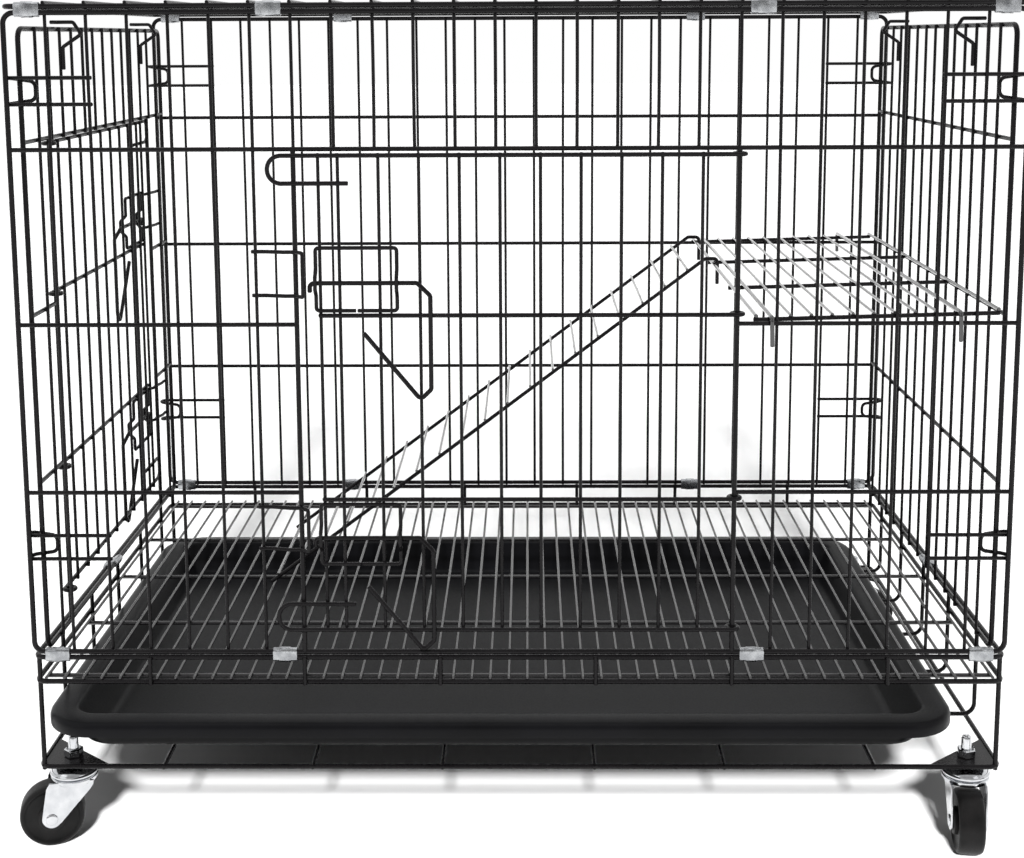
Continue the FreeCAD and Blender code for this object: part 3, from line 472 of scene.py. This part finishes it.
def latch(span):
    """A sliding bolt with a hooked nose and a hanging handle, drawn back from its keeper."""
    grip = RING + R_RAIL + GAP + BOLT + 0.6
    nose = span - 11.0
    path = [(nose, BOLT_W, -7), (nose, BOLT_W, 0), (nose - 80, BOLT_W, 0), (nose - 90, grip, -9)]
    path += [(nose - 90, grip, -80), (nose - 82, grip, -88), (nose - 40, grip, -37)]
    return [bent(path, BOLT, 3.4)]


def set_down(shapes, base, turn):
    """All shapes turned and set down together."""
    return [placed(shape, base, turn) for shape in shapes]


FRONT_SPAN, FRONT_HINGE = 330.0, (165.0, -HALF_D, 0)
SIDE_SPAN, SIDE_HINGE = 10 * SIDE_PITCH, (-SIDE_X, SIDE_LENGTH / 2 - 12 * SIDE_PITCH, 0)
DOORS = (("front", FRONT_SPAN, FRONT_HINGE, Z_PANEL, 180), ("left", SIDE_SPAN, SIDE_HINGE, SIDE_DATUM, 90))

front = panel(HALF_W, 25, Z_PANEL, LEVELS, Z_TOP, (7, 18), 1) + catches()
front += keepers(FRONT_SPAN, FRONT_HINGE[0], Z_PANEL)
front_nodes = ["front_panel_" + part for part in ("left", "right", "head", "sill")]
piece("front_panel_wire", set_down(front, (0, -HALF_D, 0), 0), COATED_WIRE, "cage", front_nodes)
back = panel(HALF_W, 25, Z_PANEL, LEVELS, Z_TOP, None, 2) + catches()
piece("back_panel_wire", set_down(back, (0, HALF_D, 0), 180), COATED_WIRE, "cage", ["back_panel"])
left = panel(SIDE_LENGTH / 2, 14, SIDE_LOW, SIDE_LEVELS, SIDE_HIGH, (2, 12), 3) + side_hooks()
left += keepers(SIDE_SPAN, -SIDE_HINGE[1], SIDE_DATUM)
left_nodes = ["left_panel_" + part for part in ("front", "back", "head", "sill")]
piece("left_panel_wire", set_down(left, (-SIDE_X, 0, 0), -90), COATED_WIRE, "cage", left_nodes)
right = panel(SIDE_LENGTH / 2, 14, SIDE_LOW, SIDE_LEVELS, SIDE_HIGH, None, 4) + side_hooks()
piece("right_panel_wire", set_down(right, (SIDE_X, 0, 0), 90), COATED_WIRE, "cage", ["right_panel"])

leaf = set_down(door(FRONT_SPAN, FRONT_PITCH, Z_PANEL, LEVELS), FRONT_HINGE, 180)
piece("front_door_wire", leaf, COATED_WIRE, "front_door", ["front_door", "front_door_eyes"])
leaf = set_down(door(SIDE_SPAN, SIDE_PITCH, SIDE_DATUM, SIDE_LEVELS), SIDE_HINGE, 90)
piece("left_door_wire", leaf, COATED_WIRE, "left_door", ["left_door", "left_door_eyes"])
for level, part in zip(("low", "high"), LATCH_PARTS):
    for side, span, hinge, datum, turn in DOORS:
        name = "%s_latch_%s" % (side, level)
        bolt = set_down(latch(span), (*hinge[:2], datum + TALL * part), turn)
        piece(name + "_wire", bolt, COATED_WIRE, name, [name])


# Lid, base, floor, shelf and ladder

lid = [hoop(HALF_W, HALF_D, Z_LID, R_FRAME, BEND)]
cross = np.linspace(-HALF_D, HALF_D, 6)
lid += [rod((-HALF_W, y, Z_LID), (HALF_W, y, Z_LID), R_RAIL) for y in cross[1:-1]]
columns = -HALF_W + FRONT_PITCH * np.arange(1, 25)
lid += [rod((x, -HALF_D - 1.6, Z_LID + BEHIND), (x, HALF_D + 1.6, Z_LID + BEHIND), R_GRID) for x in columns]
lid.append(nuggets([(x, y, Z_LID + 0.55 * BEHIND) for x in columns for y in cross], (1.9, 1.9, 1.15)))
piece("top_panel_wire", lid, COATED_WIRE, "cage", ["top_panel"])

BRACE_X = (59.5, 161.0, 278.0)
TIE_X = (60.0, 165.0, 285.0)
RUNNER_Y = 85.1 * np.arange(-2, 3)
base = [hoop(HALF_W, HALF_D, z, R_FRAME, BEND) for z in (Z_BASE, Z_RAIL, Z_STAND)]
tuck = BEND * (1 - math.sqrt(0.5))
corner = np.array([
    (HALF_W - 56, HALF_D), (HALF_W - BEND, HALF_D), (HALF_W, HALF_D - BEND), (HALF_W, HALF_D - 48)])
plates = []
for sx in (-1, 1):
    for sy in (-1, 1):
        x, y = sx * (HALF_W - tuck), sy * (HALF_D - tuck)
        base.append(rod((x, y, Z_STAND - 3.5), (x, y, Z_BASE), R_POST))
        base.append(nuggets([(x, y, z) for z in (Z_BASE, Z_RAIL, Z_STAND)], (2.6, 2.6, 2.2)))
        plates.append(slab(corner * (sx, sy), Z_STAND - 1, Z_STAND + 1, 0.3))
tie_y = HALF_D + R_FRAME + R_RAIL - WELD
brace_y = HALF_D + 2.5
for side in (-1, 1):
    base += [rod((side * x, -brace_y, Z_STAND), (side * x, brace_y, Z_STAND), R_RAIL) for x in BRACE_X]
    ties = [(side * x, y) for x in TIE_X for y in (-tie_y, tie_y)]
    base += [rod((x, y, Z_RAIL - 1.5), (x, y, Z_BASE + 1.5), R_RAIL) for x, y in ties]
run_x = HALF_W - R_FRAME - R_RAIL + WELD
for y in RUNNER_Y:
    path = [(-run_x, y, Z_BASE), (-run_x, y, Z_RUN), (run_x, y, Z_RUN), (run_x, y, Z_BASE)]
    base.append(bent(path, R_RAIL, 9.0))
sides = ("left", "right", "front", "back")
base_nodes = ["stand_" + side for side in (*sides, "braces")]
base_nodes += ["base_" + side for side in sides] + ["tray_runners"]
piece("base_wire", base, COATED_WIRE, "cage", base_nodes)
piece("castor_plates", plates, COATED_WIRE, "cage", [])

FLOOR_HALF = HALF_W - 8.0
FLOOR_Z = Z_RAIL + R_FRAME + R_FLOOR + 0.05
floor_x = np.linspace(-FLOOR_HALF, FLOOR_HALF, 52)
floor_y = np.array([-220.0, -110.0, 3.8, 110.0, 220.0])
under = FLOOR_Z - R_FLOOR - R_RAIL + WELD
grid = [rod((x, -HALF_D - 1.5, FLOOR_Z), (x, HALF_D + 1.5, FLOOR_Z), R_FLOOR) for x in floor_x]
grid += [rod((-FLOOR_HALF - 1.5, y, under), (FLOOR_HALF + 1.5, y, under), R_RAIL) for y in floor_y]
grid.append(nuggets([(x, y, FLOOR_Z - 1.0) for x in floor_x for y in floor_y], (1.7, 1.7, 1.0)))
piece("floor_grid_wire", grid, COATED_ROD, "cage", ["floor_grid"])

SHELF_X, SHELF_Z, SHELF_WIDE = 180.0, LEVELS[1] + 1.7, 181.8
reach = HALF_D - BEHIND - R_GRID - GAP - R_RAIL - 0.4
shelf_y = reach * np.array([-1, -1 / 3, 1 / 3, 1])
hook_x = (10.5, 150.9)
thin_x = np.linspace(*hook_x, 10)[1:-1]
rails = [rod((-2, y, 0), (SHELF_WIDE + 1.2, y, 0), R_RAIL) for y in shelf_y]
welds = [(x, y, R_RAIL) for x in (0, SHELF_WIDE, *hook_x, *thin_x) for y in shelf_y]
rails.append(nuggets(welds, (1.8, 1.8, 1.0)))
edge_z, thin_z = R_RAIL + R_LOOP - WELD, R_RAIL + R_FLOOR - WELD
rods = [rod((x, -reach - 1.5, edge_z), (x, reach + 1.5, edge_z), R_LOOP) for x in (0, SHELF_WIDE)]
rods += [rod((x, -reach - 1.2, thin_z), (x, reach + 1.2, thin_z), R_FLOOR) for x in thin_x]
over, hook_z = HALF_D + 2 * R_RAIL + GAP + 0.4, 2 * R_RAIL - WELD
for x in hook_x:
    path = [(x, -over, -19), (x, -over, hook_z), (x, over, hook_z), (x, over, -16)]
    rods.append(bent(path, R_RAIL, 3.0))
tilt = math.radians(1.5)
tip = np.array([(math.cos(tilt), 0, math.sin(tilt)), (0, 1, 0), (-math.sin(tilt), 0, math.cos(tilt))])
rails, rods = ([(p @ tip + (SHELF_X, 0, SHELF_Z), f) for p, f in shapes] for shapes in (rails, rods))
piece("shelf_rails", rails, COATED_WIRE, "shelf", ["shelf", "shelf_hooks"])
piece("shelf_rods", rods, COATED_RUNG, "shelf", [])

LADDER_RUN, LADDER_SKEW, LADDER_HALF, LADDER_OVER = 405.0, 80.0, 78.5, 3.0
PIVOT = np.array([SHELF_X, 132.0, SHELF_Z + R_RAIL + R_LOOP - WELD])
clear = R_LOOP + GAP + R_RAIL
turn_x = -clear - 3.0
fall = PIVOT[2] + clear - (FLOOR_Z + R_FLOOR + GAP + R_RAIL)
run = LADDER_RUN + turn_x
slope = np.array([-run, -LADDER_SKEW, -fall])
lift = np.array([-fall, 0, run]) / math.hypot(fall, run) * (R_RAIL + R_FLOOR - WELD)
runners = []
for y in (-LADDER_HALF, LADDER_HALF):
    top = np.array([turn_x, y, clear])
    runners.append(bent([(clear + 0.6, y, -20), (clear + 0.6, y, clear), top, top + slope], R_RAIL, 3.6))
rungs = np.array([turn_x, 0, clear]) + slope * np.linspace(0.04, 0.98, 19)[:, None] + lift
welds = [rungs - 0.6 * lift + (0, y, 0) for y in (-LADDER_HALF, LADDER_HALF)]
runners.append(nuggets(np.concatenate(welds), (1.8, 1.8, 1.4)))
across = np.array([0, LADDER_HALF + LADDER_OVER, 0])
steps = [rod(spot - across, spot + across, R_FLOOR) for spot in rungs]
piece("ladder_rails", [(p + PIVOT, f) for p, f in runners], COATED_WIRE, "ladder", ["ladder"])
piece("ladder_rungs", [(p + PIVOT, f) for p, f in steps], COATED_RUNG, "ladder", [])


# Tray: a profile carried round a rounded rectangle

TRAY_X, TRAY_Y = 353.0, 226.0
TRAY_PLACE = (-15.0, -30.0, Z_RUN + R_RAIL + 0.4)


def tray_shape():
    """A moulded tray.

    Each loop is a rounded rectangle of half sizes (353 - in, 226 - in) at the height of the profile, its
    corner radius (40 - in) but never under 12, or 28 round the tub below.  The loops run from the basin
    floor over the rim and the skirt and back underneath.
    """
    basin = [(44, 2.0), (38.6, 2.2), (36.8, 3.2), (35.6, 5.0), (23.0, 23.6), (21.9, 26.3), (20.7, 27.6)]
    rim = [(18.8, 28.0), (4.6, 28.0), (2.3, 27.5), (0.7, 26.0), (0.0, 23.5)]
    skirt = [(0.0, 18.0), (0.3, 17.2), (1.0, 17.0), (1.7, 17.2), (2.0, 18.0)]
    below = [(2.0, 24.6), (3.2, 25.8), (16.8, 26.0), (18.6, 24.8), (22.0, 4.2), (23.2, 1.3), (25.6, 0.0)]
    inset, z = np.array(basin + rim + skirt + below).T
    r = np.maximum(40.0 - inset, 12.0)
    r[-4:] = 28.0
    turn = np.radians([0, 90, 180, 270])[:, None] + np.linspace(0, math.pi / 2, 17)[None]
    way = np.array([(1, 1), (-1, 1), (-1, -1), (1, -1)], float)
    mid = np.stack([TRAY_X - inset - r, TRAY_Y - inset - r], -1)[:, None, None] * way[None, :, None]
    loops = mid + r[:, None, None, None] * np.stack([np.cos(turn), np.sin(turn)], -1)[None]
    loops = loops.reshape(len(z), -1, 2)
    heights = np.broadcast_to(z[:, None, None], (*loops.shape[:2], 1))
    points, faces = loft(np.concatenate([loops, heights], -1))
    return points + TRAY_PLACE, faces


tray_nodes = ["tray_base", "tray_sides", "tray_corners"]
piece("tray_moulding", [tray_shape()], MOULDED_TRAY, "tray", tray_nodes)


# Clips: folded sheet round a pair of wires

CLIP_X = (-357.0, -180.3, 180.3, 357.0)
WIRE_STEP = 4.6


def clip(first, second, along, long=18.5):
    """A folded sheet clip.

    The outline follows a circle of 3.15 mm round each wire and is pinched to 2.3 mm half way between them;
    it is carried along the wires, and its middle part, the tongue, stands about 0.3 mm proud.
    """
    first, second, along = (np.asarray(v, float) for v in (first, second, along))
    gap = np.linalg.norm(second - first)
    up = (second - first) / gap
    out = np.cross(along, up)
    low, high = np.radians(np.linspace(195, 345, 10)), np.radians(np.linspace(15, 165, 10))
    lower = np.stack([np.cos(low), np.sin(low)], -1) * 3.15
    upper = np.stack([np.cos(high), np.sin(high)], -1) * 3.15 + (0, gap)
    outline = np.concatenate([lower, [(2.3, gap / 2)], upper, [(-2.3, gap / 2)]]) - (0, gap / 2)
    half = long / 2
    rows = [(-half, 0.92), (0.3 - half, 1.0), (-4.6, 1.0), (-4.0, 1.09)]
    rows += [(4.0, 1.09), (4.6, 1.0), (half - 0.3, 1.0), (half, 0.92)]
    middle = (first + second) / 2
    section = outline[:, :1] * out + outline[:, 1:] * up
    return loft([middle + along * x + grow * section for x, grow in rows])


for level, z in (("low", Z_BASE), ("high", Z_TOP)):
    for wall, y in (("front", -HALF_D), ("back", HALF_D)):
        name = "clips_%s_%s" % (wall, level)
        row = [clip((x, y, z), (x, y, z + WIRE_STEP), (1, 0, 0)) for x in CLIP_X]
        piece(name + "_sheet", row, ZINC_SHEET, "cage", [name])
for side, sign in (("left", -1), ("right", 1)):
    y = -0.5 * SIDE_PITCH
    fold = clip((sign * HALF_W, y, Z_BASE), (sign * SIDE_X, y, SIDE_LOW), (0, 1, 0))
    piece("clip_%s_sheet" % side, [fold], ZINC_SHEET, "cage", ["clip_" + side])


# Castors: drawn about the swivel axis with the wheel trailing to -X

WHEEL_R, TRAIL = 25.0, 18.0
HEAD = Z_STAND - 1.05
CROWN = HEAD - 12.2


def wheel_shape():
    """A moulded wheel: rounded tread, a ring sunk 2 mm into each side and a hub that stands proud."""
    half = [(3.2, 11.8), (9.7, 11.8), (10.5, 11.2), (10.7, 8.6), (11.6, 8.0), (19.6, 8.0), (20.9, 8.8)]
    half += [(21.6, 9.8), (22.4, 10.0), (23.5, 9.5), (24.4, 8.3), (24.85, 6.6), (25.0, 4.0)]
    profile = [(r, -y) for r, y in half] + half[::-1]
    points, faces = standing(turned(profile, 64), WHEEL_R)
    return points - (TRAIL, 0, 0), faces


def fork_shapes():
    """A pressed fork: a rolled crown and two cheeks that narrow to a round eye at the axle."""
    crown = [(5.0, CROWN - 2.6), (14.6, CROWN - 2.6), (15.5, CROWN - 4.6), (17.4, CROWN - 4.2)]
    crown += [(18.3, CROWN - 2.6), (18.2, CROWN - 1.0), (17.0, CROWN), (5.0, CROWN)]
    shapes = [turned(crown)]
    eye = np.radians(np.linspace(168, 335, 14))
    round_end = np.stack([np.cos(eye), np.sin(eye)], -1) * 7.5 + (-TRAIL, WHEEL_R)
    upper = [(12.0, CROWN - 9.0), (14.6, CROWN - 5.0), (15.0, CROWN - 1.5)]
    upper += [(-19.0, CROWN - 1.5), (-21.4, CROWN - 6.0)]
    outline = np.concatenate([round_end, upper])
    for y in (-14.0, 12.4):
        shapes.append(standing(slab(outline, -y - 1.6, -y, 0.35), 0))
    return shapes


def axle_shape():
    """The riveted axle with a low round head at each end."""
    half = [(1.2, 15.3), (3.2, 15.2), (4.3, 14.8), (4.6, 14.3), (4.6, 14.1), (3.0, 14.1)]
    points, faces = standing(turned([(r, -y) for r, y in half] + half[::-1], 24), WHEEL_R)
    return points - (TRAIL, 0, 0), faces


def head_shapes():
    """The castor's head: a race with a bead round its foot, the swivel rivet and the stem."""
    rivet = [(2.0, CROWN - 4.5), (5.8, CROWN - 4.3), (6.5, CROWN - 3.6), (6.4, CROWN - 3.0)]
    rivet += [(4.0, CROWN - 3.0), (4.0, CROWN + 0.9)]
    race = [(17.6, CROWN + 0.9), (18.6, CROWN + 1.6), (18.6, CROWN + 2.7), (17.6, CROWN + 3.5)]
    race.append((17.3, CROWN + 4.2))
    turn = np.radians(np.linspace(15, 62, 7))
    dome = [(17.6 * math.cos(a), CROWN + 1.4 + 9.2 * math.sin(a)) for a in turn]
    neck = [(8.0, CROWN + 9.6), (8.0, HEAD), (4.0, HEAD)]
    stem = [(4.0, HEAD + 17.0), (3.4, HEAD + 18.4), (2.0, HEAD + 19.0)]
    return [turned(rivet + race + dome + neck + stem)]


def nut_shape():
    """A hexagon nut with its rims turned off."""
    turn = np.radians(60 * np.arange(6) + 20)
    return slab(np.stack([np.cos(turn), np.sin(turn)], -1) * 7.5, Z_STAND + 1.05, Z_STAND + 7.55, 0.7)


nuts = []
for place, (x, y, turn) in PLACES.items():
    at = (x, y, 0)
    stem, fork, axle, wheel = ("castor_%s_%s" % (kind, place) for kind in ("stem", "fork", "axle", "wheel"))
    body = "fork_" + place
    shapes = set_down(head_shapes(), at, turn)
    piece("castor_head_" + place, shapes, ZINC_PRESSING, "cage", [stem])
    shapes = set_down(fork_shapes(), at, turn)
    piece(fork + "_pressing", shapes, ZINC_PRESSING, body, [fork])
    shapes = set_down([axle_shape()], at, turn)
    piece(axle + "_rivet", shapes, ZINC_PRESSING, body, [axle])
    shapes = set_down([wheel_shape()], at, turn)
    piece(wheel + "_moulding", shapes, CASTOR_TREAD, "wheel_" + place, [wheel])
    nuts.append(placed(nut_shape(), at, 0))
piece("castor_nuts_zinc", nuts, ZINC_PRESSING, "cage", ["castor_nuts"])

# Studio: a white floor lit to full white from the front, a white backdrop and soft lamps.
scene = bpy.context.scene
scene.view_settings.view_transform = "Standard"
world = bpy.data.worlds.new("studio")
scene.world = world
world.use_nodes = True
sky = world.node_tree
sky.nodes.clear()
rays = add(sky, "ShaderNodeLightPath")
around = add(sky, "ShaderNodeTexCoord").outputs["Generated"]
way = add(sky, "ShaderNodeSeparateXYZ", links={"Vector": around})
# Mirrored rays find the white backdrop behind and above the cage and a dimmer room in front of it.
limits = {"From Min": -0.75, "From Max": 0.15, "To Min": 0.35, "To Max": 1.0}
room = add(sky, "ShaderNodeMapRange", limits, {"Value": way.outputs["Y"]})
mirrored = add(sky, "ShaderNodeMix", {"data_type": "FLOAT", "A": 0.07}, {
    "Factor": rays.outputs["Is Glossy Ray"], "B": room.outputs["Result"]})
strength = add(sky, "ShaderNodeMath", {"operation": "MAXIMUM"})
sky.links.new(mirrored.outputs["Result"], strength.inputs[0])
sky.links.new(rays.outputs["Is Camera Ray"], strength.inputs[1])
glow = add(sky, "ShaderNodeBackground", {"Color": (1, 1, 1, 1)}, {"Strength": strength.outputs["Value"]})
add(sky, "ShaderNodeOutputWorld", links={"Surface": glow.outputs["Background"]})

bpy.ops.mesh.primitive_plane_add(size=40)
ground = bpy.context.object
ground.name = "studio_floor"
paper, tree, output = blank("white_paper")
matt = add(tree, "ShaderNodeBsdfDiffuse", {"Color": linear("#fafafa")})
tree.links.new(matt.outputs["BSDF"], output.inputs["Surface"])
ground.data.materials.append(paper)


def soft_box(name, place, aim, size, power):
    """A square area lamp at a place in metres, turned to its aim."""
    lamp = bpy.data.lights.new(name, "AREA")
    lamp.size = size
    lamp.energy = power
    obj = bpy.data.objects.new(name, lamp)
    scene.collection.objects.link(obj)
    way = np.subtract(aim, place)
    yaw = math.atan2(way[1], way[0])
    fall_angle = math.atan2(-way[2], math.hypot(way[0], way[1]))
    obj.location = place
    obj.rotation_euler = (math.pi / 2 - fall_angle, 0, yaw - math.pi / 2)


soft_box("overhead", (0.0, 0.2, 2.6), (0, 0, 0.3), 2.4, 10)
soft_box("left_box", (-1.9, -1.6, 1.6), (0, 0, 0.35), 1.2, 4)
soft_box("right_box", (1.8, -1.9, 1.3), (0, 0, 0.3), 1.0, 3)
key = bpy.data.lights.new("front_key", "SUN")
key.energy = 6.6
key.angle = math.radians(6)
front_key = bpy.data.objects.new("front_key", key)
scene.collection.objects.link(front_key)
front_key.rotation_euler = (math.radians(55), 0, 0)
front_key.visible_glossy = False

camera = bpy.data.cameras.new("photo_camera")
camera.sensor_width = 36.0
camera.sensor_fit = "HORIZONTAL"
camera.lens = 1547.8 / 1024 * 36.0
camera.shift_y = (265 - 429) / 1024
viewer = bpy.data.objects.new("photo_camera", camera)
scene.collection.objects.link(viewer)
viewer.location = (0.0089, -1.3714, 0.6346)
viewer.rotation_euler = tuple(np.radians([81.610, 0.245, 0.578]))
scene.camera = viewer
